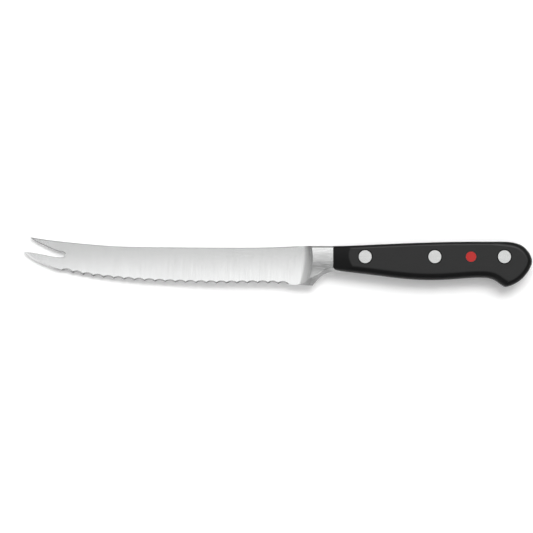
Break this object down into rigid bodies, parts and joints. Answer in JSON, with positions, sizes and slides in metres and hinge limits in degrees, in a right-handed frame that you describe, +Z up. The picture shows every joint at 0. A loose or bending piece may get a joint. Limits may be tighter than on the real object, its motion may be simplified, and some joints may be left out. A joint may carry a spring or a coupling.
{
  "type": "tomato knife",
  "caption": "Kitchen knife for tomatoes: scalloped edge, forked tip, forged bolster, and black scales riveted to a full tang that ends in a hooked butt.",
  "frame": {"origin": "centre of the knife's bounding box, down on the surface that the knife lies on", "axes": "+X from the forked tip to the butt, +Y from the cutting edge to the spine, +Z up from the right side to the left side"},
  "size_m": [0.2486, 0.0244, 0.013],
  "materials": {
    "forged_steel": "fine brushed grain across the blade, along the bolster",
    "scale_plastic": "satin black with a fine moulded texture",
    "rivet_steel": "turned and polished flush",
    "dot_plastic": "smooth red"
  },
  "bodies": {
    "root": {"blade": "forged_steel", "scale_left": "scale_plastic", "scale_right": "scale_plastic", "colour_dot": "dot_plastic", "front_rivet_sleeve": "rivet_steel", "front_rivet_pin": "rivet_steel", "middle_rivet_sleeve": "rivet_steel", "middle_rivet_pin": "rivet_steel", "rear_rivet_sleeve": "rivet_steel", "rear_rivet_pin": "rivet_steel"}
  },
  "joints": []
}
